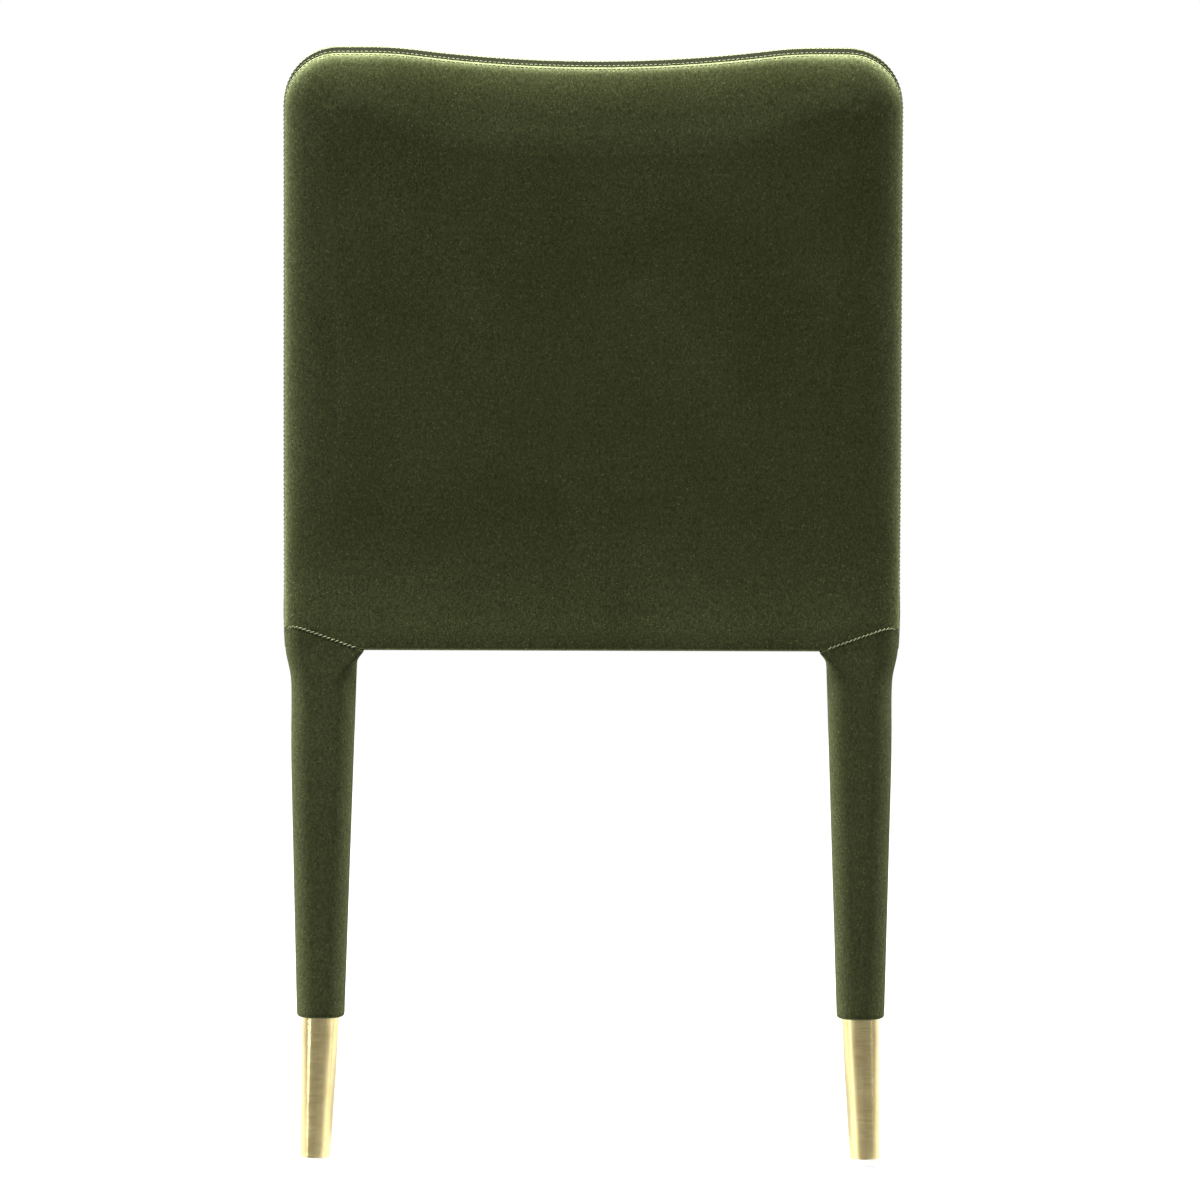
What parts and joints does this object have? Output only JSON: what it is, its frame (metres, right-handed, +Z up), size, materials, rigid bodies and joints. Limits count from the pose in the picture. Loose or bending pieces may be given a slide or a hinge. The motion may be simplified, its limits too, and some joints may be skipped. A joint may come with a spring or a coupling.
{
  "type": "dining chair",
  "caption": "Upholstered dining chair with a gently dipped, reclined back, velvet-sleeved tapering legs, satin brass ferrules and nylon glides.",
  "frame": {"origin": "on the floor, under the middle of the chair's bounding box", "axes": "+Z up; the chair faces -Y, so the outside back looks towards +Y; +X is the sitter's left"},
  "size_m": [0.5064, 0.5619, 0.8892],
  "materials": {
    "velvet": "short-pile dark olive green velvet",
    "frame_timber": "planed hardwood, unfinished",
    "plywood": "bent plywood, unfinished",
    "foam": "cut polyurethane foam",
    "webbing": "woven elastic webbing",
    "dust_cloth": "black non-woven cloth",
    "satin_brass": "brushed satin",
    "nylon": "natural translucent nylon"
  },
  "bodies": {
    "root": {"seat_top_cover": "velvet", "seat_border": "velvet", "outside_back_cover": "velvet", "back_border": "velvet", "inside_back_cover": "velvet", "sleeve_rear_left": "velvet", "sleeve_rear_right": "velvet", "sleeve_front_left": "velvet", "sleeve_front_right": "velvet", "rear_post_left": "frame_timber", "rear_post_right": "frame_timber", "front_leg_left": "frame_timber", "front_leg_right": "frame_timber", "front_rail": "frame_timber", "rear_rail": "frame_timber", "side_rail_left": "frame_timber", "side_rail_right": "frame_timber", "crest_rail": "frame_timber", "lower_back_rail": "frame_timber", "corner_block_front_left": "frame_timber", "corner_block_front_right": "frame_timber", "corner_block_rear_left": "frame_timber", "corner_block_rear_right": "frame_timber", "loose_tenons": "frame_timber", "back_board": "plywood", "seat_foam": "foam", "inside_back_foam": "foam", "outside_back_pad": "foam", "long_strap_left": "webbing", "long_strap_middle": "webbing", "long_strap_right": "webbing", "cross_strap_front": "webbing", "cross_strap_middle": "webbing", "cross_strap_rear": "webbing", "dust_cover": "dust_cloth", "ferrules": "satin_brass", "glides": "nylon"}
  },
  "joints": []
}
